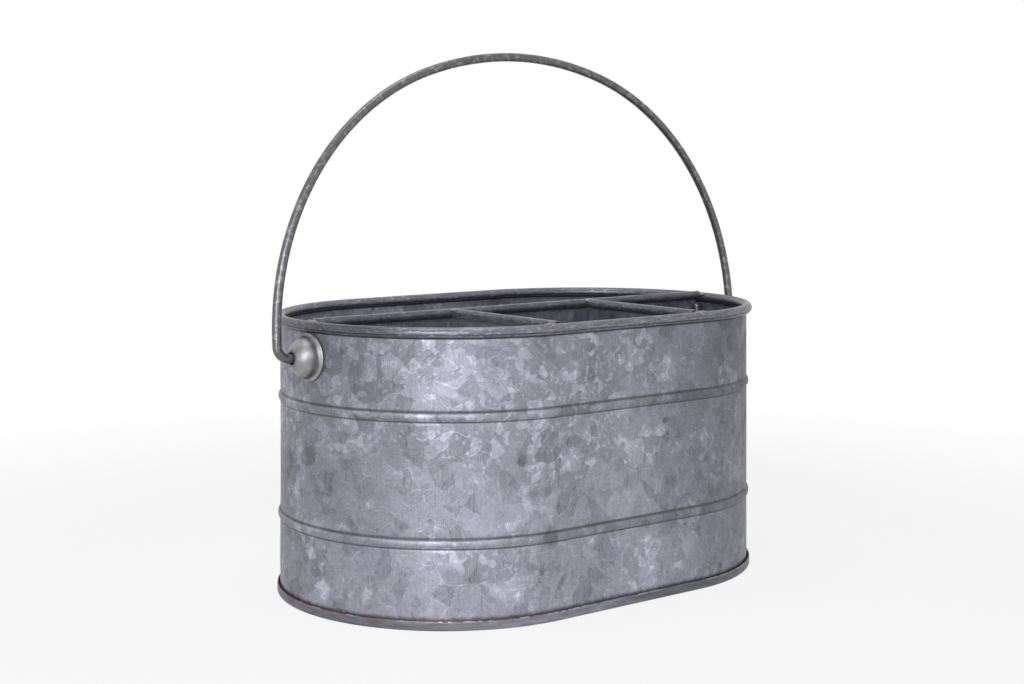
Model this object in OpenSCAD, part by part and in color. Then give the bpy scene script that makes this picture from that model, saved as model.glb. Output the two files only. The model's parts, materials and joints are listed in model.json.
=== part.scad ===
// Oval galvanised caddy: a sheet wall with a wired rim, a crimped base, soldered dividers
// and a wire bail that swings in two pressed ears.
// Millimetres, +Z up. The origin is on the table, in the middle of the base.
// X runs along the length, and the three small bays are at -Y, the front.

/* [Body] */
// Overall length of the base, over its crimped lip
base_len = 279.4; // [250:0.1:310]
// Overall width of the base, over its crimped lip
base_wid = 183.6; // [160:0.1:205]
// Height from the table to the top of the rim
body_h = 146.05; // [130:0.05:170]
// Thickness of the sheet of the wall, base and dividers
sheet = 0.6; // [0.5:0.05:0.8]

/* [Rim] */
// Outer diameter of the rolled rim
rim_d = 5.5; // [4.5:0.1:7]
// How far the rolled rim stands out from the wall
rim_proud = 3.1; // [2.2:0.1:3.6]

/* [Beads] */
// Height of the middle of the lower bead above the table
low_bead_z = 41.4; // [25:0.1:60]
// Distance from the top of the rim down to the middle of the upper bead
high_bead_drop = 43.45; // [40:0.05:60]
// Height of a bead, from its lower to its upper edge
bead_h = 4.7; // [3.5:0.1:6]
// How far a bead stands out from the wall
bead_proud = 1.1; // [0.8:0.1:1.5]

/* [Base] */
// Height of the crimped lip above the table
lip_h = 4.8; // [3:0.1:8]
// How far the crimped lip stands out from the wall
lip_proud = 1.6; // [1.4:0.1:2.4]
// Outer radius of the fold between the base and its lip
lip_fold_r = 0.9; // [0.85:0.05:1.2]

/* [Dividers] */
// Diameter of the rolled top edge of each divider
hem_d = 4.8; // [3.4:0.1:5.2]
// How far a rolled top edge stands up over the rim
hem_up = 1; // [0.4:0.1:1.4]
// Distance between the two cross dividers, over their outer faces
bay_len = 99.4; // [70:0.1:103]
// Width of the soldered flange at each end of a divider
flange_w = 6; // [4:0.5:9]
// Outer radius of the fold at each end of the long divider
long_fold_r = 3; // [2:0.1:4]
// Outer radius of the fold at each end of a cross divider
cross_fold_r = 1.5; // [1.2:0.1:2.5]

/* [Ears] */
// Outer diameter of the flange of an ear
ear_d = 24.4; // [22.5:0.1:26]
// Diameter of the dome of an ear, at its foot
dome_d = 21; // [19:0.1:22]
// Diameter of the hole in the dome
dome_hole_d = 7; // [6:0.1:9]
// Thickness of the sheet of an ear
ear_sheet = 0.8; // [0.6:0.05:1]
// How far the ears sit in front of the middle of the ends
ear_fwd = 3; // [2:0.1:6]

/* [Bail] */
// Diameter of the wire of the bail
wire_d = 4.76; // [4:0.02:5.2]
// Distance from the end of the wall to the middle of the wire of a leg
leg_out = 20.6; // [20:0.1:26]
// Height of the straight stretch at the foot of a leg, above the hinge
leg_h = 9.8; // [8:0.1:16]
// Radius of the wire's bend at the foot of a leg
foot_bend_r = 6.5; // [5:0.1:7]
// Angle that the side arc turns before the flatter top arc begins
shoulder_deg = 71.7; // [60:0.1:80]
// Length of the wire's end that is bent up inside the wall, above the hinge
stub_h = 11.5; // [10:0.1:12]
// Radius of the wire's bend inside the wall
stub_bend_r = 4; // [3.4:0.1:4.6]
// How far the bail can slide to either side from the middle, until its bent end meets the lap
bail_slack = 3.4; // [3:0.1:4.5]
// How far the bail has slid to +X in that slack
bail_shift = 2.2; // [0:0.1:2.6]
// How far the bail leans back from upright, resting on its stop
lean_deg = 4; // [2:0.1:6]

/* [Solder] */
// Radius of a drop of solder at the top of a divider
solder_r = 3.1; // [2.9:0.1:3.5]
// How far a drop of solder stands up over the top of a divider
solder_up = 0.5; // [0.3:0.05:0.8]
// Radius of the small drop of solder on an ear
ear_solder_r = 1.5; // [1.2:0.1:1.8]

/* [Hidden] */

// Roundness of small and of large circles
fine = 48;
wide = 360;
// Overrun of every cut
cut = 1;
// Overlap that joins two stretches of one sheet
weld = 0.2;
// How much thinner a flange is hammered than its sheet
hammered = 0.03;
// Places that are worked out from angles are rounded to this
round_to = 0.01;
// Clearance between soldered pieces, and between the two ends of a rolled edge
seat = 0.06;
slit = 0.4;
// Clearance between a drop of solder and the pieces that it joins
solder_gap = 0.15;
// Clearance between the bail and what it turns in or stops on
play = 0.3;

// The wall's outline: straight sides between two half-round ends
end_r = base_wid / 2 - lip_proud;
half_straight = (base_len - base_wid) / 2;
half_len = half_straight + end_r;

// The rim's tube: its middle, outward from the wall's outer face, and its height
rim_off = rim_proud - rim_d / 2;
rim_z = body_h - rim_d / 2;
rim_low = body_h - rim_d;
rim_wire_d = rim_d - 2 * sheet - 2 * seat;
rim_in = rim_off - rim_d / 2 - seat;

// A bead is a shallow arc pressed outward in the sheet
bead_r = (pow(bead_proud, 2) + pow(bead_h / 2, 2)) / (2 * bead_proud);
bead_off = bead_proud - bead_r;
high_bead_z = body_h - high_bead_drop;

// The wall's foot is turned out inside the lip
foot_turn = lip_proud - sheet - seat - lip_fold_r / 3;

// The hinge of the bail
ear_z = rim_low - play - ear_d / 2;
hinge_y = -ear_fwd;

// The long divider stands where the bail's bent end meets it when the bail leans back, rounded up
stop_y = hinge_y + stub_h * sin(lean_deg) + wire_d / 2 * cos(lean_deg) + play;
long_front = ceil(stop_y / round_to) * round_to;
long_back = long_front + sheet;
panel_top = rim_low - play;
hem_top = body_h + hem_up;
hem_z = hem_top - hem_d / 2;
long_hem_y = long_back - hem_d / 2;
cross_rear = long_back - hem_d - seat;
cross_hem_x = bay_len / 2 - hem_d / 2;

// The lap of the wall's two ends, inside the right-hand end and in front of the long divider
lap_w = 9;
lap_y = long_front - play - lap_w / 2;
joint_gap = 0.5;

// The ears' domes, which reach back to the curved wall at their foot
dome_x = across_x(seat + ear_sheet, hinge_y);
dome_skirt = 3;

// The bail, in its own upright plane with the hinge at height 0
bail_half = half_len + leg_out;
side_share = 0.9;
side_r = side_share * bail_half;
top_r = (bail_half - side_r * (1 - cos(shoulder_deg))) / cos(shoulder_deg);
top_mid = leg_h + (side_r - top_r) * sin(shoulder_deg);
stub_x = half_len - 2 * sheet - wire_d / 2 - bail_slack;
// The ring that closes a shoulder stands out from the wire by a hair
shoulder_ring_d = wire_d + 0.04;

// X of the wall's end at the offset off, measured outward from its outer face, at the given y
function across_x(off, y) = half_straight + sqrt(pow(end_r + off, 2) - pow(y, 2));

// Y of the wall's side at the offset off, measured outward from its outer face, at the given x
function across_y(off, x) = sqrt(pow(end_r + off, 2) - pow(max(0, x - half_straight), 2));

// The wall's outline, grown by off from its outer face
module outline(off) {
    for (side = [-1, 1])
        translate([side * half_straight, 0]) rotate(90 + side * 90) circle(r = end_r + off, $fn = wide);
    square([2 * half_straight, 2 * (end_r + off)], center = true);
}

// A thin band along the outline, between two offsets
module band(outer, inner) {
    difference() {
        outline(outer);
        outline(inner);
    }
}

// Sweeps a profile round the outline: its x is outward from the wall's outer face, its y is up
module around() {
    for (side = [-1, 1])
        translate([side * half_straight, 0, 0])
            rotate([0, 0, -side * 90])
                rotate_extrude(angle = 180, $fn = wide)
                    translate([end_r, 0]) children();
    for (turn = [0, 1])
        mirror([0, turn, 0])
            translate([-half_straight, 0, 0])
                rotate([90, 0, 90])
                    linear_extrude(2 * half_straight)
                        translate([end_r, 0]) children();
}

// The arcs of both beads, at a given depth of sheet below the outer face
module bead_discs(depth) {
    for (z = [low_bead_z, high_bead_z])
        translate([bead_off, z]) circle(r = bead_r - depth, $fn = fine);
}

// The wall's profile: turned-out foot, beads and a rim rolled round its wire
module wall_profile() {
    difference() {
        union() {
            translate([-sheet, sheet]) square([sheet, rim_z - sheet]);
            translate([-sheet, sheet]) square([sheet + foot_turn, sheet]);
            intersection() {
                bead_discs(0);
                translate([-sheet, 0]) square([2 * bead_r, body_h]);
            }
            translate([rim_off, rim_z]) circle(d = rim_d, $fn = fine);
        }
        bead_discs(sheet);
        translate([rim_off, rim_z]) circle(d = rim_d - 2 * sheet, $fn = fine);
        translate([0, rim_low - cut]) square([slit, rim_d / 2 + cut]);
    }
}

// The second layer of sheet where the wall's ends lap
module lap() {
    difference() {
        translate([0, 0, sheet])
            linear_extrude(panel_top - sheet)
                intersection() {
                    band(-sheet, -2 * sheet);
                    translate([half_straight, lap_y - lap_w / 2]) square([2 * end_r, lap_w]);
                }
        translate([half_straight, 0, 0])
            rotate([0, 0, -90])
                rotate_extrude(angle = 180, $fn = wide)
                    translate([end_r, 0]) bead_discs(sheet);
    }
}

// A bar along X through both ends of the wall, at the hinge
module hinge_bar(d, x_from, x_to) {
    for (side = [-1, 1])
        translate([side * x_from, hinge_y, ear_z])
            rotate([0, side * 90, 0]) cylinder(d = d, h = x_to - x_from, $fn = fine);
}

module body_wall() {
    color([0.55, 0.56, 0.59])
        difference() {
            union() {
                around() wall_profile();
                lap();
            }
            hinge_bar(wire_d + 2 * play, half_len - end_r / 4, half_len + cut);
            translate([half_len + rim_in - cut, lap_y - joint_gap / 2, rim_low - cut])
                cube([rim_d + 2 * cut, joint_gap, rim_d + 2 * cut]);
        }
}

module rim_wire() {
    color([0.42, 0.43, 0.45])
        around() translate([rim_off, rim_z]) circle(d = rim_wire_d, $fn = fine);
}

// The fold and the upright lip round the base
module lip_profile() {
    fold_off = lip_proud - lip_fold_r;
    translate([lip_proud - sheet, lip_fold_r]) square([sheet, lip_h - lip_fold_r]);
    difference() {
        intersection() {
            translate([fold_off, lip_fold_r]) circle(r = lip_fold_r, $fn = fine);
            translate([fold_off, 0]) square([lip_fold_r, lip_fold_r]);
        }
        translate([fold_off, lip_fold_r]) circle(r = lip_fold_r - sheet, $fn = fine);
    }
}

module base_pan() {
    color([0.52, 0.53, 0.56]) {
        linear_extrude(sheet) outline(lip_proud - lip_fold_r);
        around() lip_profile();
    }
}

// A rolled top edge: the sheet's plain face is at x = 0 and the roll is on its -x side
module hem_profile() {
    difference() {
        union() {
            translate([-sheet, panel_top - weld]) square([sheet, hem_z - panel_top + weld]);
            translate([-hem_d / 2, hem_z]) circle(d = hem_d, $fn = fine);
        }
        translate([-hem_d / 2, hem_z]) circle(d = hem_d - 2 * sheet, $fn = fine);
        translate([-sheet - slit, hem_top - hem_d - cut]) square([slit, hem_d / 2 + cut]);
    }
}

// A quarter ring of sheet round the origin, in the quadrant where x and y are negative
module fold(r) {
    intersection() {
        difference() {
            circle(r = r, $fn = fine);
            circle(r = r - sheet, $fn = fine);
        }
        translate([-r, -r]) square(r);
    }
}

// One end of the long divider, at +X
module long_end() {
    face = -sheet - seat;
    turn_y = long_front + long_fold_r;
    square_x = across_x(face, turn_y) - long_fold_r;
    translate([-weld, long_front]) square([square_x + 2 * weld, sheet]);
    translate([square_x, turn_y]) mirror([1, 0]) fold(long_fold_r);
    intersection() {
        band(face, face - sheet + hammered);
        translate([square_x, turn_y - weld]) square([2 * long_fold_r, flange_w + weld]);
    }
}

module long_divider() {
    color([0.5, 0.51, 0.54]) {
        translate([0, 0, sheet])
            linear_extrude(panel_top - sheet) {
                long_end();
                mirror([1, 0]) long_end();
            }
        intersection() {
            translate([-half_len, long_back, 0])
                rotate([90, 0, 90]) linear_extrude(2 * half_len) hem_profile();
            linear_extrude(hem_top + cut) outline(rim_in);
        }
    }
}

// The cross divider at +X: its flanges turn outward and its roll faces the middle bay
module cross_divider() {
    inner = -sheet - seat;
    face_x = bay_len / 2;
    web_x = face_x - sheet;
    front_y = -across_y(inner, web_x + cross_fold_r);
    rear_y = long_front - seat;
    translate([0, 0, sheet])
        linear_extrude(panel_top - sheet) {
            translate([web_x, front_y + cross_fold_r - weld])
                square([sheet, rear_y - front_y - 2 * (cross_fold_r - weld)]);
            translate([web_x + cross_fold_r, front_y + cross_fold_r]) fold(cross_fold_r);
            translate([web_x + cross_fold_r, rear_y - cross_fold_r])
                mirror([0, 1]) fold(cross_fold_r);
            translate([web_x + cross_fold_r - weld, rear_y - sheet])
                square([flange_w + weld, sheet]);
            intersection() {
                band(inner, inner - sheet + hammered);
                translate([web_x + cross_fold_r - weld, -2 * end_r])
                    square([flange_w + weld, 2 * end_r]);
            }
        }
    intersection() {
        translate([face_x, cross_rear, 0])
            rotate([90, 0, 0]) linear_extrude(end_r) hem_profile();
        linear_extrude(hem_top + cut) outline(rim_in);
    }
}

module cross_divider_right() {
    color([0.48, 0.49, 0.52]) cross_divider();
}

module cross_divider_left() {
    color([0.48, 0.49, 0.52]) mirror([1, 0, 0]) cross_divider();
}

// The pressed ear at +X: a flange that follows the wall, and a hollow dome with a hole
module ear() {
    foot_r = dome_d / 2;
    difference() {
        intersection() {
            translate([half_straight, hinge_y, ear_z])
                rotate([0, 90, 0]) cylinder(d = ear_d, h = end_r + leg_out, $fn = wide);
            linear_extrude(body_h) band(seat + ear_sheet, seat);
        }
        translate([half_straight, hinge_y, ear_z])
            rotate([0, 90, 0]) cylinder(r = foot_r - ear_sheet / 2, h = 2 * end_r, $fn = wide);
    }
    difference() {
        translate([dome_x, hinge_y, ear_z])
            rotate([0, 90, 0]) {
                rotate_extrude($fn = wide)
                    intersection() {
                        difference() {
                            circle(r = foot_r, $fn = wide);
                            circle(r = foot_r - ear_sheet, $fn = wide);
                        }
                        translate([dome_hole_d / 2, 0]) square(foot_r);
                    }
                translate([0, 0, -dome_skirt])
                    difference() {
                        cylinder(r = foot_r, h = dome_skirt + weld, $fn = wide);
                        translate([0, 0, -cut])
                            cylinder(r = foot_r - ear_sheet, h = dome_skirt + 2 * cut, $fn = wide);
                    }
            }
        translate([0, 0, ear_z - ear_d]) linear_extrude(2 * ear_d) outline(seat);
    }
}

module ear_right() {
    color([0.68, 0.69, 0.7]) ear();
}

module ear_left() {
    color([0.68, 0.69, 0.7]) mirror([1, 0, 0]) ear();
}

// A stretch of the bail's wire along an arc, in the plane of X and Z
module wire_arc(r, from, sweep) {
    rotate([90, 0, 0])
        rotate([0, 0, from])
            rotate_extrude(angle = sweep, $fn = wide)
                translate([r, 0]) circle(d = wire_d, $fn = fine);
}

// One side of the bail, at +X: bent end, hinge, foot bend, leg and side arc
module bail_side() {
    hinge_from = stub_x + stub_bend_r;
    hinge_to = bail_half - foot_bend_r;
    translate([stub_x, 0, stub_bend_r])
        cylinder(d = wire_d, h = stub_h - stub_bend_r, $fn = fine);
    translate([hinge_from, 0, stub_bend_r]) wire_arc(stub_bend_r, 180, 90);
    translate([hinge_from, 0, 0])
        rotate([0, 90, 0]) cylinder(d = wire_d, h = hinge_to - hinge_from, $fn = fine);
    translate([hinge_to, 0, foot_bend_r]) wire_arc(foot_bend_r, -90, 90);
    translate([bail_half, 0, foot_bend_r])
        cylinder(d = wire_d, h = leg_h - foot_bend_r, $fn = fine);
    translate([bail_half - side_r, 0, leg_h]) {
        wire_arc(side_r, 0, shoulder_deg);
        rotate([0, -shoulder_deg, 0])
            translate([side_r, 0, -weld])
                cylinder(d = shoulder_ring_d, h = 2 * weld, $fn = fine);
    }
}

module bail() {
    color([0.4, 0.41, 0.44])
        translate([bail_shift, hinge_y, ear_z])
            rotate([-lean_deg, 0, 0]) {
                bail_side();
                mirror([1, 0, 0]) bail_side();
                translate([0, 0, top_mid]) wire_arc(top_r, shoulder_deg, 180 - 2 * shoulder_deg);
            }
}

// The profile of the rolled rim, the sheet below it and all outside it, with room for solder
module rim_room_profile() {
    translate([rim_off, rim_z]) circle(d = rim_d + 2 * solder_gap, $fn = fine);
    translate([-sheet - solder_gap, 0]) square([rim_d, rim_z]);
}

// That profile along the wall near the given x, at +X and at the front
module rim_room(x) {
    if (x > half_straight - solder_r)
        translate([half_straight, 0, 0])
            rotate([0, 0, -90])
                rotate_extrude(angle = 180, $fn = wide)
                    translate([end_r, 0]) rim_room_profile();
    if (x < half_straight + solder_r)
        rotate([90, 0, 90])
            linear_extrude(half_straight + solder_r)
                mirror([1, 0]) translate([end_r, 0]) rim_room_profile();
}

// The top of a divider as a full bar and web, with room for solder, along +X from the origin
module hem_room(length) {
    rotate([90, 0, 90])
        linear_extrude(length) {
            translate([-hem_d / 2, hem_z]) circle(d = hem_d + 2 * solder_gap, $fn = fine);
            translate([-sheet - solder_gap, 0]) square([sheet + 2 * solder_gap, hem_z]);
        }
}

// A drop of solder that stands on z = 0, with a rounded top edge
module drop(r, h) {
    soft = r / 4;
    rotate_extrude($fn = fine) {
        square([r - soft, h]);
        square([r, h - soft]);
        intersection() {
            translate([r - soft, h - soft]) circle(r = soft, $fn = fine);
            square([r, h]);
        }
    }
}

// A drop at the top of a divider, in the place of its rolled edge
module top_drop(x, y) {
    drop_z = panel_top + solder_gap;
    translate([x, y, drop_z]) drop(solder_r, hem_top + solder_up - drop_z);
}

// The drop that joins the long divider's roll to the rim, at +X
module solder_end() {
    end_x = across_x(rim_in, long_hem_y);
    difference() {
        top_drop(end_x, long_hem_y);
        translate([0, long_back, 0]) hem_room(end_x + solder_gap);
        rim_room(end_x);
    }
}

// The drop between the long divider's roll and a cross divider's roll, at +X
module solder_joint() {
    difference() {
        top_drop(cross_hem_x, cross_rear);
        translate([0, long_back, 0]) hem_room(bay_len);
        translate([bay_len / 2, cross_rear, 0]) rotate([0, 0, -90]) hem_room(end_r);
    }
}

// The drop that joins a cross divider's roll to the rim, at +X
module solder_front() {
    front_y = -across_y(rim_in, cross_hem_x);
    difference() {
        top_drop(cross_hem_x, front_y);
        translate([bay_len / 2, cross_rear, 0])
            rotate([0, 0, -90]) hem_room(cross_rear - front_y + solder_gap);
        rim_room(cross_hem_x);
    }
}

// The small drop on the top of an ear's flange, at +X
module solder_ear() {
    drop_z = panel_top - ear_solder_r;
    difference() {
        translate([half_straight, hinge_y, drop_z])
            rotate([0, 90, 0])
                drop(ear_solder_r, across_x(ear_sheet + ear_solder_r, hinge_y) - half_straight);
        linear_extrude(body_h) outline(seat + ear_sheet + solder_gap);
        translate([half_straight, hinge_y, ear_z])
            rotate([0, 90, 0]) cylinder(r = dome_d / 2 + solder_gap, h = 2 * end_r, $fn = wide);
    }
}

module solder_end_right() {
    color([0.72, 0.66, 0.58]) solder_end();
}

module solder_end_left() {
    color([0.72, 0.66, 0.58]) mirror([1, 0, 0]) solder_end();
}

module solder_joint_right() {
    color([0.72, 0.66, 0.58]) solder_joint();
}

module solder_joint_left() {
    color([0.72, 0.66, 0.58]) mirror([1, 0, 0]) solder_joint();
}

module solder_front_right() {
    color([0.72, 0.66, 0.58]) solder_front();
}

module solder_front_left() {
    color([0.72, 0.66, 0.58]) mirror([1, 0, 0]) solder_front();
}

module solder_ear_right() {
    color([0.8, 0.74, 0.7]) solder_ear();
}

module solder_ear_left() {
    color([0.8, 0.74, 0.7]) mirror([1, 0, 0]) solder_ear();
}

body_wall();
rim_wire();
base_pan();
long_divider();
cross_divider_left();
cross_divider_right();
ear_left();
ear_right();
bail();
solder_end_left();
solder_end_right();
solder_joint_left();
solder_joint_right();
solder_front_left();
solder_front_right();
solder_ear_left();
solder_ear_right();
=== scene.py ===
# %% [markdown]
# # Dressing an oval galvanised caddy
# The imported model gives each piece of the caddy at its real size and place. This lesson gives the
# pieces the shape and finish that they have on the real one: sheet with rolled beads and a wired
# rim, a bent wire, lumps of solder, and weathered zinc with its crystals. It works in metres, in
# the model's own frame, and mm turns a size in millimetres into metres.

# %% Load the frame
import json
import math
import bmesh
import bpy
from mathutils import Matrix, Vector

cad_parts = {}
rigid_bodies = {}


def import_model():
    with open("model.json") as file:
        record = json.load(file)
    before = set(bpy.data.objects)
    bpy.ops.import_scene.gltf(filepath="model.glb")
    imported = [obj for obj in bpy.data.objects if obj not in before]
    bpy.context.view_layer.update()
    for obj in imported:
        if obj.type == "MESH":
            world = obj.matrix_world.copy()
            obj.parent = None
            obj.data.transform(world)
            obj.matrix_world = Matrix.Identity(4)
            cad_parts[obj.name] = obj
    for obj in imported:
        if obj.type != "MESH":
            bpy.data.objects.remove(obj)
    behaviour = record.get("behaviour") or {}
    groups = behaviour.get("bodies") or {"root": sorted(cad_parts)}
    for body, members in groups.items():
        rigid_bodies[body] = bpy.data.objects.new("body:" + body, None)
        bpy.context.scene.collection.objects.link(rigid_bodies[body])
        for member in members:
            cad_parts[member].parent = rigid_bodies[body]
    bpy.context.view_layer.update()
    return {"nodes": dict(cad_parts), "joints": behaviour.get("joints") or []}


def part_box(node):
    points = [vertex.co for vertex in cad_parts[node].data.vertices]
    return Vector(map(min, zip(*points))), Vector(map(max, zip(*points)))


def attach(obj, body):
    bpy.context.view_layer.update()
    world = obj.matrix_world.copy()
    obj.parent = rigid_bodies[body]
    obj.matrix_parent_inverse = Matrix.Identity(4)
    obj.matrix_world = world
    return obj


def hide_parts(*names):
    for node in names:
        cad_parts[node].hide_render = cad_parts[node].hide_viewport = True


bpy.ops.object.select_all(action="SELECT")
bpy.ops.object.delete()
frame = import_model()
mm = 0.001

# %% [markdown]
# ## Sizes
# Every place comes from the boxes of the model's own nodes, so a change in the model carries
# through. Only what a box can't say, such as the gauge of the sheet, is written here.

# %% Sizes
wall_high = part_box("body_wall")[1]
pan_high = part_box("base_pan")[1]
long_low, long_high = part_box("long_divider")
cross_low, cross_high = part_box("cross_divider_right")
ear_low, ear_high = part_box("ear_right")
bail_low, bail_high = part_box("bail")
hinge = Vector(frame["joints"][0]["pos_m"])

# The outline of the wall's outer face: two round ends and two straight sides
sheet = 0.6 * mm
lip_proud = 1.6 * mm
end_r = pan_high.y - lip_proud
half_straight = pan_high.x - pan_high.y
half_len = half_straight + end_r

# The rolled rim, and the long divider, whose rolled edge is called its hem
rim_r = 2.75 * mm
rim_z = wall_high.z - rim_r
rim_off = wall_high.y - end_r - rim_r
hem_r = 2.4 * mm
back_y = long_low.y + 2 * hem_r
panel_top = wall_high.z - 5.8 * mm
print("end radius and half straight in mm:", round(end_r / mm, 2), round(half_straight / mm, 2))

# %% [markdown]
# ## Bending tools
# A tinsmith starts with a strip and bends it. The same is done here: a plane is collapsed to one
# point, the point is extruded along a profile, and the profile is carried along a line with
# extrude and round a bend with spin. Solidify then gives the sheet its gauge.

# %% Bending tools
merge_gap = 0.01 * mm


def start_chain(name, points):
    """A new mesh with a chain of edges through the points, left in edit mode, all selected."""
    bpy.ops.object.select_all(action="DESELECT")
    bpy.ops.mesh.primitive_plane_add(size=mm)
    piece = bpy.context.object
    piece.name = name
    piece.data.name = name
    bpy.context.tool_settings.mesh_select_mode = (True, False, False)
    bpy.ops.object.mode_set(mode="EDIT")
    bpy.ops.mesh.select_all(action="SELECT")
    bpy.ops.mesh.merge(type="CENTER")
    bpy.ops.transform.translate(value=points[0])
    for here, there in zip(points, points[1:]):
        bpy.ops.mesh.extrude_vertices_move(TRANSFORM_OT_translate={"value": there - here})
    bpy.ops.mesh.select_all(action="SELECT")
    return piece


def carry(step, count=1):
    """Extrudes what is selected by a step, as often as count says."""
    for _ in range(count):
        bpy.ops.mesh.extrude_region_move(TRANSFORM_OT_translate={"value": step})


def turn(centre, degrees, steps, axis=(0, 0, 1)):
    """Spins what is selected about an axis, by the right-hand rule."""
    bpy.ops.mesh.spin(steps=steps, angle=-math.radians(degrees), center=centre, axis=axis)


def join_up():
    """Merges what meets, turns the faces one way and leaves edit mode."""
    bpy.ops.mesh.select_all(action="SELECT")
    bpy.ops.mesh.remove_doubles(threshold=merge_gap)
    bpy.ops.mesh.normals_make_consistent(inside=False)
    bpy.ops.object.mode_set(mode="OBJECT")


# %% [markdown]
# ## Sheet tools
# Sheet is the same gauge everywhere, and what hands have bent is never quite flat. Solidify gives
# the gauge, and Displace moves the surface in soft waves. Both could stay live, but applied ones
# leave a plain mesh that can be cut, joined and measured.

# %% Sheet tools
def apply_modifier(piece, kind, **settings):
    """Adds a modifier with its settings and applies it."""
    modifier = piece.modifiers.new(kind.lower(), kind)
    for name, value in settings.items():
        setattr(modifier, name, value)
    bpy.context.view_layer.objects.active = piece
    bpy.ops.object.modifier_apply(modifier=modifier.name)


def thicken(piece, thickness):
    """Gives a sheet its gauge, half to each side, and turns the closed shell right side out."""
    apply_modifier(piece, "SOLIDIFY", thickness=thickness, offset=0, use_even_offset=True)
    shell = bmesh.new()
    shell.from_mesh(piece.data)
    if shell.calc_volume(signed=True) < 0:
        bmesh.ops.reverse_faces(shell, faces=shell.faces)
        shell.to_mesh(piece.data)
    shell.free()


def smooth(piece, degrees=40):
    """Smooth shading, with edges kept where the faces turn by more than the angle."""
    bpy.ops.object.select_all(action="DESELECT")
    piece.select_set(True)
    bpy.context.view_layer.objects.active = piece
    bpy.ops.object.shade_smooth_by_angle(angle=math.radians(degrees))


def ripple(piece, name, size, height, weight=None):
    """Moves the surface in and out in soft waves, as hand work leaves it."""
    waves = bpy.data.textures.new(name, "CLOUDS")
    waves.noise_scale = size
    waves.noise_depth = 1
    settings = {"texture": waves, "texture_coords": "LOCAL", "strength": height, "mid_level": 0.5}
    if weight:
        group = piece.vertex_groups.new(name=name)
        for vertex in piece.data.vertices:
            group.add([vertex.index], weight(vertex.co), "REPLACE")
        settings["vertex_group"] = name
    apply_modifier(piece, "DISPLACE", **settings)


# %% [markdown]
# ## The wall
# The wall is one strip. Its profile is drawn once, at the seam inside the right-hand end: the foot
# turned out, two beads between shallow grooves, and the top rolled outward round its wire. The
# roll isn't round: it was set down against the wall, which left a crease in its lower third.
# Carried round the outline, the two ends meet at the seam, where a second layer laps them.

# %% The wall's profile
bead_heights = (41.4 * mm, 102.6 * mm)
bead_half = 2.35 * mm
bead_proud = 1.1 * mm
bead_r = (bead_proud ** 2 + bead_half ** 2) / (2 * bead_proud)
groove_depth = 0.16 * mm
groove_off = 0.3 * mm
groove_spread = 0.5 * mm
first_row = 1.6 * mm
row_step = 4.4 * mm
row_count = 32


def bead_shape(z):
    """How far the sheet stands out at a height: an arc on a bead, a shallow groove beside it."""
    away = min(abs(z - middle) for middle in bead_heights)
    bulge = math.sqrt(max(bead_r ** 2 - away ** 2, 0)) - (bead_r - bead_proud)
    groove = groove_depth * math.exp(-((away - bead_half - groove_off) / groove_spread) ** 2)
    return (max(bulge, 0) if away < bead_half else 0) - groove


def wall_heights():
    """Heights at which the wall has a row of points: even ones, and close ones on the beads."""
    rows = [first_row + row_step * step for step in range(row_count)]
    rows = [z for z in rows if min(abs(z - middle) for middle in bead_heights) > row_step]
    near = [0, 0.6, 1.2, 1.7, 2.1, 2.35, 2.65, 3.0, 3.5, 4.2]
    near += [-value for value in near[1:]]
    for middle in bead_heights:
        rows += [middle + value * mm for value in near]
    return sorted(rows)


def arc(centre, radius, first, last, count):
    """Points on an arc, as pairs, from the first angle to the last, in degrees."""
    angles = [first + (last - first) * step / count for step in range(count + 1)]
    return [(centre[0] + radius * math.cos(math.radians(angle)),
             centre[1] + radius * math.sin(math.radians(angle))) for angle in angles]


# %% The rolled edge and the whole profile
roll_first = 215
roll_last = -94
crease_depth = 0.42 * mm
crease_angle = -22
crease_spread = 7


def rim_roll():
    """The rolled edge, as pairs of how far out and how high, from the wall over the top and down."""
    rise = [(-0.32, 6.15), (-0.55, 5.45), (-1.05, 4.8)]
    points = [(out * mm, wall_high.z - below * mm) for out, below in rise]
    for out, z in arc((rim_off, rim_z), rim_r - sheet / 2, roll_first, roll_last, 44):
        angle = math.atan2(z - rim_z, out - rim_off)
        crease = crease_depth * math.exp(-((math.degrees(angle) - crease_angle) / crease_spread) ** 2)
        points.append((out - crease * math.cos(angle), z - crease * math.sin(angle)))
    return points


foot = [(0.34 * mm, 0.92 * mm), (0, 0.94 * mm), (-0.24 * mm, 1.1 * mm)]
rows = [(bead_shape(z) - sheet / 2, z) for z in wall_heights()]
profile = foot + rows + rim_roll()
print("wall profile:", len(profile), "points")

# %% Carry the profile round
arc_step = 2.0
straight_steps = 30
seam_gap = 0.5 * mm
lap_w = 9 * mm
seam_y = back_y - sheet - 0.3 * mm - lap_w / 2


def place_round(pairs, y=0.0):
    """Pairs of how far out and how high, as points on the right-hand end at the given y."""
    angle = math.asin(y / end_r)
    return [Vector((half_straight + (end_r + out) * math.cos(angle),
                    (end_r + out) * math.sin(angle), z)) for out, z in pairs]


def carry_round(first_y=0.0, last_y=0.0):
    """Carries the selected chain once round the outline, clockwise, from first_y to last_y."""
    first = 90 + math.degrees(math.asin(first_y / end_r))
    last = 90 - math.degrees(math.asin(last_y / end_r))
    side = 2 * half_straight / straight_steps
    turn((half_straight, 0, 0), -first, round(first / arc_step))
    carry((-side, 0, 0), straight_steps)
    turn((-half_straight, 0, 0), -180, round(180 / arc_step))
    carry((side, 0, 0), straight_steps)
    turn((half_straight, 0, 0), -last, round(last / arc_step))


wall = start_chain("wall", place_round(profile, seam_y - seam_gap / 2))
carry_round(seam_y - seam_gap / 2, seam_y + seam_gap / 2)
join_up()
print("wall, one gauge thin:", len(wall.data.polygons), "faces")

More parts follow.
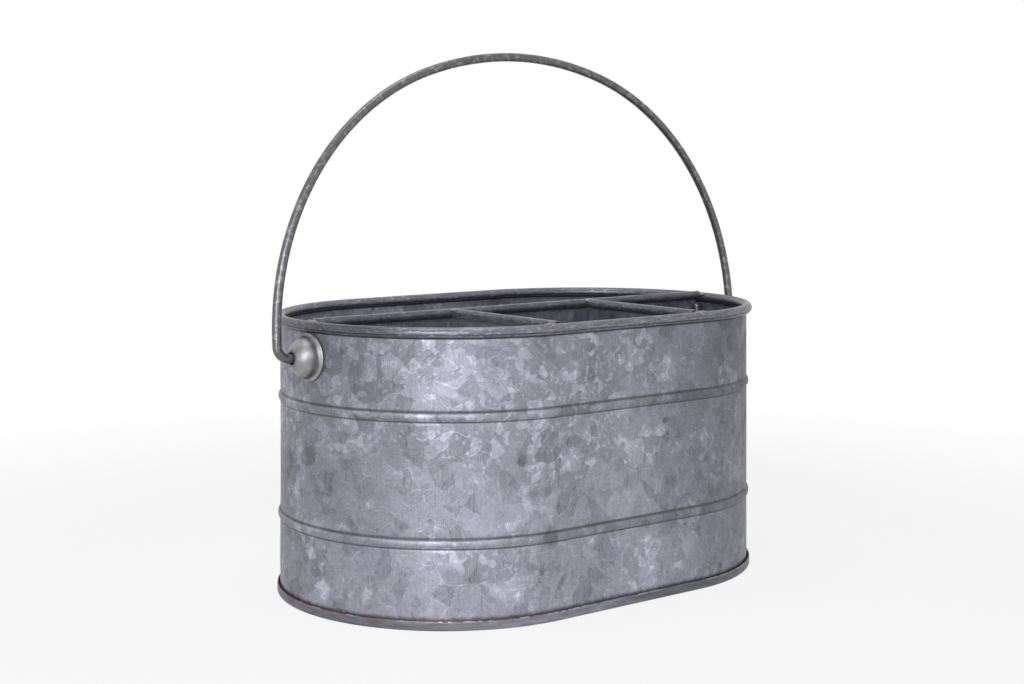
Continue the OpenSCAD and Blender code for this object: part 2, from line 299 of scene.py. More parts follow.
# %% Wave the sheet and give it its gauge
def step_between(low, high, value):
    """0 below low, 1 above high and a smooth step between."""
    share = min(max((value - low) / (high - low), 0), 1)
    return share * share * (3 - 2 * share)


foot_holds = (8 * mm, 24 * mm)
rim_holds = (118 * mm, 134 * mm)
held_share = 0.15


def loose(co):
    """Full between the foot and the rim, and little where other pieces hold the sheet."""
    low = step_between(*foot_holds, co.z)
    high = 1 - step_between(*rim_holds, co.z)
    return held_share + (1 - held_share) * low * high


ripple(wall, "sheet_waves", 55 * mm, 0.5 * mm, loose)
thicken(wall, sheet)
print("wall:", len(wall.data.polygons), "faces")

# %% [markdown]
# ## The seam and the bail's holes
# Inside the right-hand end a second layer of sheet laps the seam. It is the same profile, one
# gauge further in and without the rim. The holes for the bail are cut through both layers with
# a Boolean, as a punch does.

# %% The lap
lap_clear = 0.02 * mm
lap_rows = [(out - sheet - lap_clear, z) for out, z in rows if z < panel_top]
lap = start_chain("lap", place_round(lap_rows, seam_y - lap_w / 2))
turn((half_straight, 0, 0), math.degrees(lap_w / end_r), 6)
join_up()
thicken(lap, sheet)
print("lap:", len(lap.data.polygons), "faces")

# %% The holes
wire_d = 4.76 * mm
hole_d = wire_d + 0.6 * mm
punch_len = 30 * mm


def punch(piece, side):
    """Cuts the bail's hole through one end of a piece."""
    bpy.ops.object.select_all(action="DESELECT")
    bpy.ops.mesh.primitive_cylinder_add(vertices=40, radius=hole_d / 2, depth=punch_len,
                                        location=(side * half_len, hinge.y, hinge.z),
                                        rotation=(0, math.pi / 2, 0))
    cutter = bpy.context.object
    bpy.ops.object.select_all(action="DESELECT")
    piece.select_set(True)
    apply_modifier(piece, "BOOLEAN", object=cutter, operation="DIFFERENCE", solver="EXACT")
    bpy.data.objects.remove(cutter)


def unite(name, *pieces):
    """Joins several meshes into the first one."""
    bpy.ops.object.select_all(action="DESELECT")
    for piece in pieces:
        piece.select_set(True)
    bpy.context.view_layer.objects.active = pieces[0]
    bpy.ops.object.join()
    pieces[0].name = name
    pieces[0].data.name = name
    return pieces[0]


punch(wall, -1)
punch(wall, 1)
punch(lap, 1)
wall = unite("wall", wall, lap)
smooth(wall)
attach(wall, "body")
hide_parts("body_wall")
print("wall with its lap and holes:", len(wall.data.polygons), "faces")

# %% [markdown]
# ## The base
# The base is a shallow pan: a flat floor, a tight fold and a low upright lip round the wall's
# foot. Only its profile from the fold outward needs to be carried round. The floor is then filled
# and inset, so that the faces near the fold stay regular.

# %% The base
pan_fold_r = 0.6 * mm
pan_out = lip_proud - sheet / 2 - pan_fold_r
lip_out = pan_out + pan_fold_r
lip_top = pan_high.z
floor_edge = -6 * mm
pan_profile = [(floor_edge, sheet / 2)]
pan_profile += arc((pan_out, sheet / 2 + pan_fold_r), pan_fold_r, -90, 0, 6)
pan_profile += [(lip_out, z * mm) for z in (1.8, 2.7, 3.6)]
pan_profile += [(lip_out - 0.05 * mm, lip_top - 0.5 * mm), (lip_out - 0.2 * mm, lip_top - 0.12 * mm)]
pan = start_chain("base", place_round(pan_profile))
carry_round()
bpy.ops.mesh.select_all(action="SELECT")
bpy.ops.mesh.remove_doubles(threshold=merge_gap)

# %% The base's floor
def pick(piece, kind, test):
    """Selects the vertices, edges or faces of a piece in edit mode that pass a test."""
    bpy.ops.mesh.select_all(action="DESELECT")
    shell = bmesh.from_edit_mesh(piece.data)
    modes = tuple(kind == word for word in ("verts", "edges", "faces"))
    bpy.context.tool_settings.mesh_select_mode = modes
    for part in getattr(shell, kind):
        part.select_set(test(part))
    shell.select_flush_mode()
    bmesh.update_edit_mesh(piece.data)


pick(pan, "edges", lambda edge: edge.is_boundary and max(v.co.z for v in edge.verts) < sheet)
bpy.ops.mesh.edge_face_add()
for ring in (8 * mm, 20 * mm):
    bpy.ops.mesh.inset(thickness=ring, depth=0)
join_up()
thicken(pan, sheet)
smooth(pan)
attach(pan, "body")
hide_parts("base_pan")
print("base:", len(pan.data.polygons), "faces")

# %% [markdown]
# ## The dividers
# Seen from above, a divider is a straight web with a flange at each end that follows the wall.
# That plan is drawn as a chain and carried upward. Its top edge is rolled: a second chain, almost
# a full circle, is carried along the web, so the tube is one gauge thick and open underneath.

# %% A divider's rolled edge
hem_z = long_high.z - hem_r
hem_off = rim_off - rim_r - 0.12 * mm
hem_overlap = 0.2 * mm
hem_rise = 1.2 * mm
hem_turn = 322


def hem_points(place):
    """The rolled edge's section, from the web's top round to just short of it."""
    radius = hem_r - sheet / 2
    pairs = [(-sheet / 2, panel_top - hem_overlap), (-sheet / 2, panel_top + hem_rise)]
    pairs += arc((-hem_r, hem_z), radius, 0, hem_turn, 30)
    return [place(out, z) for out, z in pairs]


# %% A divider's plan
solder_gap = 0.06 * mm
flange_off = -1.5 * sheet - solder_gap
panel_rows = 24


def reach_x(off, y):
    """X of the right-hand end, off outward from the wall's outer face, at the given y."""
    return half_straight + math.sqrt((end_r + off) ** 2 - y ** 2)


def wall_arc(first_y, last_y, count):
    """A flange's points along the inside of the right-hand end, from one y to another."""
    places = [first_y + (last_y - first_y) * step / count for step in range(count + 1)]
    return [(reach_x(flange_off, y), y) for y in places]


def raise_plan(name, plan):
    """Carries a plan from the floor of the caddy up to the rolled edge."""
    bottom = long_low.z
    piece = start_chain(name, [Vector((x, y, bottom)) for x, y in plan])
    carry((0, 0, (panel_top - bottom) / panel_rows), panel_rows)
    join_up()
    return piece


# %% The long divider
web_y = back_y - sheet / 2
flange_top_y = long_high.y
fold_r = 3 * mm - sheet / 2
turn_y = web_y + fold_r
web_half_steps = 30
hem_steps = 90


def long_plan():
    """The long divider from above, from the left-hand flange to the right-hand one."""
    fold_x = reach_x(flange_off, turn_y) - fold_r
    right = arc((fold_x, turn_y), fold_r, -90, 0, 6)
    right += wall_arc(turn_y, flange_top_y, 4)[1:]
    steps = range(1 - web_half_steps, web_half_steps)
    web = [(fold_x * step / web_half_steps, web_y) for step in steps]
    left = [(-x, y) for x, y in reversed(right)]
    return left + web + right


long_web = raise_plan("long_web", long_plan())
ripple(long_web, "long_waves", 60 * mm, 0.5 * mm)
thicken(long_web, sheet)
hem_end = reach_x(hem_off, back_y - 2 * hem_r)
long_hem = start_chain("long_hem", hem_points(lambda out, z: Vector((-hem_end, back_y + out, z))))
carry((2 * hem_end / hem_steps, 0, 0), hem_steps)
join_up()
ripple(long_hem, "hem_waves", 18 * mm, 0.16 * mm)
thicken(long_hem, sheet)
long_divider = unite("lengthwise_divider", long_web, long_hem)
smooth(long_divider)
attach(long_divider, "body")
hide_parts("long_divider")
print("long divider:", len(long_divider.data.polygons), "faces")

# %% The cross dividers
cross_face_x = cross_low.x + 2 * hem_r
cross_web_x = cross_face_x - sheet / 2
cross_fold_r = 1.5 * mm - sheet / 2
cross_front_y = cross_low.y + sheet / 2
cross_back_y = cross_high.y - sheet / 2
cross_hem_back = back_y - 2 * hem_r - 0.1 * mm
cross_hem_front = -(end_r + hem_off)
cross_hem_steps = 28


def cross_plan():
    """A cross divider from above, from its front flange to its rear one."""
    fold_x = cross_web_x + cross_fold_r
    face_r = end_r + flange_off
    front = []
    for step in range(4):
        x = cross_high.x + (fold_x - cross_high.x) * step / 4
        front.append((x, -math.sqrt(face_r ** 2 - max(x - half_straight, 0) ** 2)))
    front += arc((fold_x, cross_front_y + cross_fold_r), cross_fold_r, 270, 180, 5)
    rear = arc((fold_x, cross_back_y - cross_fold_r), cross_fold_r, 180, 90, 5)
    rear += [(cross_high.x, cross_back_y)]
    first, last = front[-1][1], rear[0][1]
    web = [(cross_web_x, first + (last - first) * step / 20) for step in range(1, 20)]
    return front + web + rear


cross_web = raise_plan("cross_web", cross_plan())
ripple(cross_web, "cross_waves", 45 * mm, 0.35 * mm)
thicken(cross_web, sheet)
cross_hem = start_chain("cross_hem", hem_points(
    lambda out, z: Vector((cross_face_x + out, cross_hem_front, z))))
carry((0, (cross_hem_back - cross_hem_front) / cross_hem_steps, 0), cross_hem_steps)
join_up()
ripple(cross_hem, "cross_hem_waves", 18 * mm, 0.16 * mm)
thicken(cross_hem, sheet)
cross_right = unite("cross_sheet_right", cross_web, cross_hem)
smooth(cross_right)
print("cross divider:", len(cross_right.data.polygons), "faces")

# %% The left cross divider
def mirrored(piece, name):
    """A copy with its own mesh on the other side of the middle, with its faces turned back."""
    bpy.ops.object.select_all(action="DESELECT")
    twin = piece.copy()
    twin.data = piece.data.copy()
    twin.name = name
    twin.data.name = name
    bpy.context.scene.collection.objects.link(twin)
    twin.select_set(True)
    bpy.context.view_layer.objects.active = twin
    twin.scale = (-1, 1, 1)
    bpy.ops.object.transform_apply(location=False, rotation=False, scale=True)
    bpy.ops.object.mode_set(mode="EDIT")
    bpy.ops.mesh.select_all(action="SELECT")
    bpy.ops.mesh.normals_make_consistent(inside=False)
    bpy.ops.object.mode_set(mode="OBJECT")
    return twin


cross_left = mirrored(cross_right, "cross_sheet_left")
for piece, side in ((cross_right, "right"), (cross_left, "left")):
    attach(piece, "body")
    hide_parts("cross_divider_" + side)
print("its mirror image:", len(cross_left.data.polygons), "faces")

# %% [markdown]
# ## The ears
# Each ear is a pressed disc: a dome with a hole for the wire, a concave groove and a flange. Half
# of that section is drawn and spun about the hinge. The flange is then bent to the wall, which
# falls away behind it, by moving its points in by as much as the wall has curved there.

# %% The ears
ear_sheet = 0.8 * mm
ear_r = (ear_high.z - ear_low.z) / 2
ear_foot_x = reach_x(solder_gap + ear_sheet, hinge.y)
dome_hole_r = 3.5 * mm
dome_r = math.hypot(ear_high.x - ear_foot_x, dome_hole_r)
dome_mid_r = dome_r - ear_sheet / 2
dome_first = 18
dome_last = 66


def ear_section():
    """Half of the ear's section, as pairs of how far out along the hinge and how far from it."""
    pairs = arc((0, 0), dome_mid_r, dome_first, dome_last, 12)
    flare = [(3.1, 0.65), (2.3, 0.5), (1.55, 0.25), (0.95, -0.2), (0.55, -0.75), (0.25, -1.3)]
    pairs += [(up * mm, dome_r - in_by * mm) for up, in_by in flare]
    pairs += [(0, ear_r - 0.25 * mm), (-0.1 * mm, ear_r)]
    return pairs


ear = start_chain("ear_plate_right", [Vector((ear_foot_x + out, hinge.y, hinge.z + far))
                                      for out, far in ear_section()])
turn((ear_foot_x, hinge.y, hinge.z), 360, 72, axis=(1, 0, 0))
join_up()
for vertex in ear.data.vertices:
    away = math.hypot(vertex.co.y - hinge.y, vertex.co.z - hinge.z)
    bend = step_between(dome_r - 3 * mm, dome_r, away)
    vertex.co.x += bend * (reach_x(0, vertex.co.y) - reach_x(0, hinge.y))
ripple(ear, "ear_waves", 9 * mm, 0.18 * mm)
thicken(ear, ear_sheet)
apply_modifier(ear, "SUBSURF", levels=1, render_levels=1)
smooth(ear, 60)
ear_twin = mirrored(ear, "ear_plate_left")
for piece, side in ((ear, "right"), (ear_twin, "left")):
    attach(piece, "body")
    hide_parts("ear_" + side)
print("ear:", len(ear.data.polygons), "faces")

# %% [markdown]
# ## The bail
# The bail is one wire, bent as on a jig. A disc of the wire's section starts at one bent-up end
# and is extruded and spun through each bend in turn, in an upright plane, and the finished wire
# is leaned back on its stop. The sizes of the bends are those of the model.

# %% The bail's bends
bail_shift = (bail_low.x + bail_high.x) / 2
leg_x = half_len + 20.6 * mm
leg_h = 9.8 * mm
foot_bend_r = 6.5 * mm
stub_h = 11.5 * mm
stub_bend_r = 4 * mm
slack = 3.4 * mm
stub_x = half_len - 2 * sheet - wire_d / 2 - slack
side_r = 0.9 * leg_x
shoulder = 71.7
shoulder_cos = math.cos(math.radians(shoulder))
top_r = (leg_x - side_r * (1 - shoulder_cos)) / shoulder_cos
top_mid = leg_h + (side_r - top_r) * math.sin(math.radians(shoulder))
lean = 4
end_ring = 0.4 * mm
reach = leg_x - foot_bend_r - stub_x - stub_bend_r
y_axis = (0, 1, 0)


def at(x, z):
    """A point of the bail's upright plane, at a height above the hinge."""
    return (bail_shift + x, hinge.y, hinge.z + z)


# %% Bend the wire
bpy.ops.object.select_all(action="DESELECT")
bpy.ops.mesh.primitive_circle_add(vertices=28, radius=wire_d / 2, fill_type="NGON",
                                  location=at(-stub_x, stub_h))
bail = bpy.context.object
bail.name = "bail_wire"
bail.data.name = "bail_wire"
bpy.ops.object.transform_apply(location=True, rotation=False, scale=False)
bpy.ops.object.mode_set(mode="EDIT")
bpy.ops.mesh.select_all(action="SELECT")
carry((0, 0, -end_ring))
carry((0, 0, stub_bend_r - stub_h + end_ring))
turn(at(-stub_x - stub_bend_r, stub_bend_r), 90, 10, y_axis)
carry((-reach / 4, 0, 0), 4)
turn(at(-(leg_x - foot_bend_r), foot_bend_r), 90, 14, y_axis)
carry((0, 0, leg_h - foot_bend_r))
turn(at(-(leg_x - side_r), leg_h), shoulder, 44, y_axis)
turn(at(0, top_mid), 180 - 2 * shoulder, 26, y_axis)
turn(at(leg_x - side_r, leg_h), shoulder, 44, y_axis)
carry((0, 0, foot_bend_r - leg_h))
turn(at(leg_x - foot_bend_r, foot_bend_r), 90, 14, y_axis)
carry((-reach / 4, 0, 0), 4)
turn(at(stub_x + stub_bend_r, stub_bend_r), 90, 10, y_axis)
carry((0, 0, stub_h - stub_bend_r - end_ring))
carry((0, 0, end_ring))
join_up()
print("bail, upright:", len(bail.data.polygons), "faces")

# %% Lean the bail on its stop
lean_turn = Matrix.Translation(hinge) @ Matrix.Rotation(-math.radians(lean), 4, "X")
bail.data.transform(lean_turn @ Matrix.Translation(-hinge))
ripple(bail, "wire_waves", 14 * mm, 0.1 * mm)
smooth(bail)
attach(bail, "bail")
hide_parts("bail")
print("bail:", len(bail.data.polygons), "faces")

# %% [markdown]
# ## Solder
# A joint of solder is a lump that ran and froze. Each one starts as a ball, is flattened and
# stretched along its seam, and gets a lumpy skin. The lumps lie at different places in the cloud
# that moves their skin, so no two look alike.

# %% The lumps of solder
def lump(name, node, centre, size, height=0.9 * mm):
    """A lump of solder of about a size round a place, which stands for a node of the model."""
    bpy.ops.object.select_all(action="DESELECT")
    bpy.ops.mesh.primitive_ico_sphere_add(subdivisions=5, radius=1, location=(0, 0, 0))
    piece = bpy.context.object
    piece.name = name
    piece.data.name = name
    bpy.ops.object.mode_set(mode="EDIT")
    bpy.ops.mesh.select_all(action="SELECT")
    bpy.ops.transform.resize(value=size)
    bpy.ops.transform.translate(value=centre)
    bpy.ops.object.mode_set(mode="OBJECT")
    ripple(piece, name + "_skin", 1.9 * mm, height)
    smooth(piece, 80)
    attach(piece, "body")
    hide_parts(node)
    return piece


ear_top_x = reach_x(ear_sheet, hinge.y)
lumps = []
for side, word in ((-1, "left"), (1, "right")):
    lumps += [
        lump("end_drop_" + word, "solder_end_" + word,
             (side * (hem_end + 0.3 * mm), back_y - hem_r, wall_high.z - 0.9 * mm),
             (1.9 * mm, 4.6 * mm, 1.3 * mm)),
        lump("joint_drop_" + word, "solder_joint_" + word,
             (side * (cross_face_x - hem_r), cross_hem_back + 0.7 * mm, long_high.z - 0.8 * mm),
             (2.9 * mm, 2.2 * mm, 1.0 * mm), 0.7 * mm),
        lump("front_drop_" + word, "solder_front_" + word,
             (side * (cross_face_x + 1.5 * mm), cross_hem_front + 0.2 * mm, wall_high.z - 1.1 * mm),
             (6 * mm, 1.9 * mm, 1.3 * mm), 0.7 * mm),
        lump("ear_drop_" + word, "solder_ear_" + word,
             (side * (ear_top_x + 0.5 * mm), hinge.y, ear_high.z - 1.3 * mm),
             (1.1 * mm, 1.4 * mm, 1.3 * mm), 0.4 * mm)]
print("solder:", len(lumps), "lumps")

# %% [markdown]
# ## Writing finishes as sums
# A finish is a small sum of noises and masks, and Python can write it as one. Value wraps a socket,
# and each operator on it adds a Math node. Nodes holds a node tree, and its node method adds any
# other node: the settings first, then the values or links of its sockets. Finish is the tree of
# one material, with the few patterns that the caddy's pieces share.

# %% Value
class Value:
    """A socket that Python's operators work on."""

    def __init__(self, nodes, socket):
        self.nodes = nodes
        self.socket = socket

    def maths(self, operation, *values):
        """The result of a Math node on the values."""
        return self.nodes.node("ShaderNodeMath", {"operation": operation}, values)

    def __add__(self, other):
        return self.maths("ADD", self, other)

    def __radd__(self, other):
        return self.maths("ADD", other, self)

    def __sub__(self, other):
        return self.maths("SUBTRACT", self, other)

    def __rsub__(self, other):
        return self.maths("SUBTRACT", other, self)

    def __mul__(self, other):
        return self.maths("MULTIPLY", self, other)

    def __rmul__(self, other):
        return self.maths("MULTIPLY", other, self)

    def __pow__(self, other):
        return self.maths("POWER", self, other)

    def __abs__(self):
        return self.maths("ABSOLUTE", self)

    def at_least(self, other):
        """The larger of this and another value."""
        return self.maths("MAXIMUM", self, other)


# %% Nodes
class Nodes:
    """A node tree that starts empty."""

    def __init__(self, tree):
        self.tree = tree
        self.tree.nodes.clear()

    def node(self, kind, settings, values, output=0):
        """A node of any kind, as the Value of one of its outputs where it has any."""
        made = self.tree.nodes.new(kind)
        for name, value in settings.items():
            setattr(made, name, value)
        pairs = values.items() if isinstance(values, dict) else enumerate(values)
        for key, value in pairs:
            self.feed(made.inputs[key], value)
        return Value(self, made.outputs[output]) if len(made.outputs) else None

    def feed(self, socket, value):
        """Links a Value to a socket, or sets a plain value on it."""
        if isinstance(value, Value):
            self.tree.links.new(value.socket, socket)
        else:
            socket.default_value = value

    def ease(self, value, low, high):
        """0 below low, 1 above high, and a smooth step between."""
        return self.node("ShaderNodeMapRange", {"interpolation_type": "SMOOTHSTEP"},
                         {"Value": value, "From Min": low, "From Max": high})


# %% Finish
full_turn = 6.3


class Finish(Nodes):
    """One material: a Principled shader, and the nodes that feed it."""

    def __init__(self, name):
        self.material = bpy.data.materials.new(name)
        self.material.use_nodes = True
        super().__init__(self.material.node_tree)
        surface = self.node("ShaderNodeBsdfPrincipled", {}, {}, "BSDF")
        self.shader = surface.socket.node
        self.node("ShaderNodeOutputMaterial", {}, {"Surface": surface})
        self.place = self.node("ShaderNodeTexCoord", {}, {}, "Object")
        self.x, self.y, self.z = (self.node("ShaderNodeSeparateXYZ", {}, [self.place], axis)
                                  for axis in "XYZ")

    def shade(self, **values):
        """Feeds the shader's own sockets, named with _ for a space."""
        for name, value in values.items():
            self.feed(self.shader.inputs[name.replace("_", " ")], value)

    def noise(self, size, detail, place=None, stretch=(1, 1, 1), output="Fac"):
        """Noise whose blobs are about a size, longer along an axis with a stretch over 1."""
        scale = tuple(1 / (size * share) for share in stretch)
        scaled = self.node("ShaderNodeVectorMath", {"operation": "MULTIPLY"},
                           [place or self.place, scale])
        return self.node("ShaderNodeTexNoise", {},
                         {"Vector": scaled, "Scale": 1.0, "Detail": detail}, output)

    def shake(self, place, size, reach):
        """Moves a place about by a noise, so that straight edges turn ragged."""
        push = self.node("ShaderNodeVectorMath", {"operation": "SUBTRACT"},
                         [self.noise(size, 3.0, output="Color"), (0.5, 0.5, 0.5)])
        return self.node("ShaderNodeVectorMath", {"operation": "MULTIPLY_ADD"},
                         [push, (reach, reach, reach), place])

    def crystals(self, size, place, feature="F1", output="Color"):
        """Cells of about a size. Their colour holds three random shares."""
        scaled = self.node("ShaderNodeVectorMath", {"operation": "MULTIPLY"},
                           [place, (1 / size,) * 3])
        return self.node("ShaderNodeTexVoronoi", {"feature": feature},
                         {"Vector": scaled, "Scale": 1.0}, output)

    def share(self, colour, channel="Red"):
        """One channel of a colour, as a number."""
        return self.node("ShaderNodeSeparateColor", {}, [colour], channel)

    def mix(self, share, first, second):
        """A colour between two colours, clamped to the two."""
        return self.node("ShaderNodeMix", {"data_type": "RGBA"},
                         {0: share, 6: first, 7: second}, 2)

    def grey(self, value, tint):
        """A colour of a changing lightness and a fixed tint."""
        return self.node("ShaderNodeVectorMath", {"operation": "SCALE"}, {0: tint, 3: value})

    def grain(self, cells, size):
        """Fine lines inside crystals, which run another way in each crystal."""
        turned = self.node("ShaderNodeVectorRotate", {"rotation_type": "AXIS_ANGLE"},
                           {"Vector": self.place, "Axis": cells,
                            "Angle": self.share(cells, "Blue") * full_turn})
        return self.noise(size, 2.0, place=turned, stretch=(1, 8, 8))

    def out_from_wall(self):
        """How far a place lies out from the wall's outer face, in metres."""
        past_end = (abs(self.x) - half_straight).at_least(0)
        return (past_end ** 2 + self.y ** 2) ** 0.5 - end_r

    def bump(self, height, depth):
        """A Bump node on the shader's normal, with its depth in metres."""
        self.shade(Normal=self.node("ShaderNodeBump", {}, {"Height": height, "Distance": depth},
                                    "Normal"))


def wear(finish, *pieces):
    """Gives pieces one finish all over."""
    for piece in pieces:
        piece.data.materials.clear()
        piece.data.materials.append(finish.material)
        for face in piece.data.polygons:
            face.material_index = 0
    print(finish.material.name + ":", len(finish.tree.nodes), "nodes, pieces:", len(pieces))


# %% [markdown]
# ## Galvanised sheet
# Molten zinc freezes on sheet as flat crystals. Each mirrors the light its own way, so the sheet
# looks like angular patches, light against dark, from specks to thumb size. A photograph of zinc
# could be wrapped round the caddy, but cells need no picture and no seam. Here four sizes of
# Voronoi cells, on a place shaken a little by noise so that their edges turn ragged, give the
# patches, and fine lines run another way in each. The brightest crystals lie in clusters, and
# seams between crystals catch the light in places. Upright brush marks and scratches, a fine
# mottle and clouds of handling lie over them all.

# %% The zinc
zinc_tint = (0.965, 0.965, 1.17)
metal_share = 0.5
large_cells = 27 * mm
middle_cells = 10 * mm
small_cells = 4.6 * mm
speck_cells = 1.6 * mm


def zinc_lightness(finish, busy):
    """How light the zinc is, about 1 on average. busy is how much of it has bright crystals, which
    are painted glints.
    """
    ragged = finish.shake(finish.shake(finish.place, 5 * mm, 3 * mm), 1.5 * mm, 1.2 * mm)
    large, middle, small, specks = (finish.crystals(size, ragged) for size in
                                    (large_cells, middle_cells, small_cells, speck_cells))
    patches = finish.share(large) * 0.26 + finish.share(middle) * 0.15 + finish.share(small) * 0.08
    near = finish.ease(finish.noise(24 * mm, 2.0) + (busy - 0.5) * 0.3, 0.42, 0.56)
    # The bright crystals are painted glints: crystals that mirror the light, painted lighter, in
    # clusters.
    bright = near * (finish.ease(finish.share(middle, "Green"), 0.76, 0.79) * 0.3
                     + finish.ease(finish.share(small, "Green"), 0.78, 0.81) * 0.4
                     + finish.ease(finish.share(specks, "Green"), 0.9, 0.93) * 0.34)
    dull = (finish.ease(finish.share(small, "Blue"), 0.86, 0.9) * 0.12
            + finish.ease(finish.share(middle, "Blue"), 0.8, 0.84) * (1 - near) * 0.16)
    lines = (finish.grain(middle, 0.5 * mm) - 0.5) * (0.6 + bright * 1.2)
    to_seam = finish.crystals(middle_cells, ragged, "DISTANCE_TO_EDGE", "Distance")
    seams = (1 - finish.ease(to_seam, 0.01, 0.05)) * (finish.noise(6 * mm, 3.0) - 0.45) * 1.5
    brushing = (finish.noise(0.5 * mm, 3.0, stretch=(1, 1, 26)) - 0.5) * 0.28
    mottle = (finish.noise(0.7 * mm, 4.0) - 0.5) * 0.55
    clouds = (finish.noise(38 * mm, 3.0) - 0.5) * 0.3
    scratches = finish.ease(finish.noise(0.7 * mm, 1.0, stretch=(1, 1, 18)), 0.7, 0.74) * 0.25
    return 0.74 + patches + bright - dull + lines + seams + brushing + mottle + clouds - scratches


# %% [markdown]
# ## The wall's finish
# The wall's brightest crystals, painted glints, lie high up at the left. Both ends are darkened
# with painted shade, the right one more, and painted shade darkens the wall upwards to the rim. The
# inside is painted lighter, as painted light. One material could be made for each area, but then
# their borders would show, so one finish is multiplied by soft masks of height, length and distance
# from the outer face.

# %% The wall's zinc
wall_tone = 0.36
wall_finish = Finish("galvanised_sheet")
# Most of the painted glints go high up at the left of the wall.
wall_busy = (wall_finish.ease(wall_finish.z, 58 * mm, 108 * mm)
             * (1 - wall_finish.ease(wall_finish.x, -30 * mm, 60 * mm)) * 0.8 + 0.25)
wall_zinc = zinc_lightness(wall_finish, wall_busy)
outside = wall_finish.ease(wall_finish.out_from_wall(), -0.33 * mm, -0.27 * mm)
right_end = wall_finish.ease(wall_finish.x, -20 * mm, 125 * mm)
left_end = wall_finish.ease(0 - wall_finish.x, 92 * mm, 135 * mm)
# Both ends are darkened with painted shade, the right one more.
end_shade = right_end * 0.42 + left_end * 0.24
# Painted shade that grows upwards to the rim, and more so at the ends.
under_rim = wall_finish.ease(wall_finish.z, 10 * mm, 142 * mm) * (0.24 + end_shade * 0.6)
# The inside is painted a quarter lighter than the outside: painted light.
wall_light = wall_zinc * (1 - end_shade) * (1 - under_rim) * (1.25 - 0.25 * outside) * wall_tone
print("the wall's zinc:", len(wall_finish.tree.nodes), "nodes")

# %% [markdown]
# ## Dirt and rubbing on the beads
# Dirt stays in the groove above each bead, and a thinner dark line below it is painted shade under
# the bead. The crests carry a painted highlight, broken in places, and away from the left-hand end
# the beads are darkened with painted shade. The lines could be painted by hand, but each bead's
# height is known, so they are bands round it.

# %% The beads
def along_beads(finish, offset, full, none):
    """1 within full of a line at an offset above each bead's middle, and 0 past none."""
    return sum(1 - finish.ease(abs(finish.z - (middle + offset)), full, none)
               for middle in bead_heights)


# The line above each bead is dirt in its groove. The thinner line below is painted shade under the
# bead.
dirt_and_shade_lines = (along_beads(wall_finish, bead_half + 0.1 * mm, 0.15 * mm, 1.0 * mm)
              + along_beads(wall_finish, -bead_half - 0.25 * mm, 0.1 * mm, 0.6 * mm))
# A painted highlight along each bead's upper slope, broken in places by noise.
crest_highlight = along_beads(wall_finish, 1.5 * mm, 0.2 * mm, 0.7 * mm)
on_beads = along_beads(wall_finish, 0, 0.8 * bead_half, bead_half)
highlight_patches = wall_finish.ease(wall_finish.noise(9 * mm, 3.0, stretch=(2, 2, 1)), 0.38, 0.6)
dirt_and_shade_share = (0.3 + 0.5 * wall_finish.noise(7 * mm, 3.0, stretch=(2, 2, 1))) * outside
# The beads right of the left-hand end are darkened by a quarter with painted shade.
bead_shade = on_beads * wall_finish.ease(wall_finish.x, -85 * mm, -40 * mm) * 0.25
wall_light = wall_light * (1 - bead_shade) * (1 - dirt_and_shade_lines * dirt_and_shade_share)
wall_light = wall_light + crest_highlight * highlight_patches * outside * (1 - bead_shade * 3) * 0.06
print("with its beads:", len(wall_finish.tree.nodes), "nodes")

# %% [markdown]
# ## Grime at the lip
# Damp dirt gathers where the wall meets the lip of the base. A straight band would look painted,
# so noise shifts the height at which it ends.

# %% The grime
grime_reach = 3 * mm
grime_height = wall_finish.z - wall_finish.noise(5 * mm, 4.0) * grime_reach
grime = 1 - wall_finish.ease(grime_height, lip_top - 1.6 * mm, lip_top + 0.6 * mm)
wall_light = wall_light * (1 - grime * outside * 0.62)
print("with its grime:", len(wall_finish.tree.nodes), "nodes")

# %% [markdown]
# ## The rim's finish
# The rim has been rubbed and knocked, so it is darker than the wall and blotched along its length.
# It is darkened with painted shade in its crease, where it meets the wall and towards both ends. A
# second material could cover it, but it is the same sheet as the wall, so one mask of height goes
# from the wall's look to the rim's. The brown of the bead lines, dirt and painted shade, goes over
# both, and one Bump node lifts what is light.

# %% The rim
on_rim = wall_finish.ease(wall_finish.z, panel_top - 0.4 * mm, panel_top + 0.6 * mm)
blotches = wall_finish.noise(2.2 * mm, 4.0, stretch=(5, 5, 0.5))
flakes = wall_finish.ease(wall_finish.noise(1.1 * mm, 3.0, stretch=(3, 3, 0.6)), 0.56, 0.66)
# The rim is darkened towards both ends with painted shade.
rim_light = (0.06 + blotches * 0.22 + flakes * 0.18) * (1 - right_end * 0.26 - left_end * 0.5)
# Painted shade in the rim's crease and where the roll meets the wall.
from_crease = abs(wall_finish.z - (rim_z - 1.15 * mm))
out_of_crease = wall_finish.ease(from_crease, 0.1 * mm, 0.5 * mm)
out_of_corner = wall_finish.ease(wall_finish.z, wall_high.z - 5.4 * mm, wall_high.z - 4.4 * mm)
rim_light = rim_light * (0.45 + 0.55 * out_of_crease) * (0.12 + 0.88 * out_of_corner)
wall_grey = wall_light * (1 - on_rim) + rim_light * on_rim

# This brown goes over both bead lines: the dirt above and the painted shade below.
dirt_and_shade_brown = (0.12, 0.105, 0.095, 1)
wall_colour = wall_finish.mix(dirt_and_shade_lines * dirt_and_shade_share * 0.7,
                              wall_finish.grey(wall_grey, zinc_tint), dirt_and_shade_brown)
wall_finish.shade(Base_Color=wall_colour, Metallic=metal_share,
                  Roughness=0.5 - (wall_zinc - 1) * 0.12 - on_rim * 0.14)
wall_finish.bump(wall_grey, 0.25 * mm)
wear(wall_finish, wall)

# %% [markdown]
# ## The dividers' finish
# The dividers are the same zinc, duller than the wall. Their rolled edges are dark and blotched,
# with pale flakes, and a painted highlight runs along the crown. As on the rim, height tells the
# two apart.

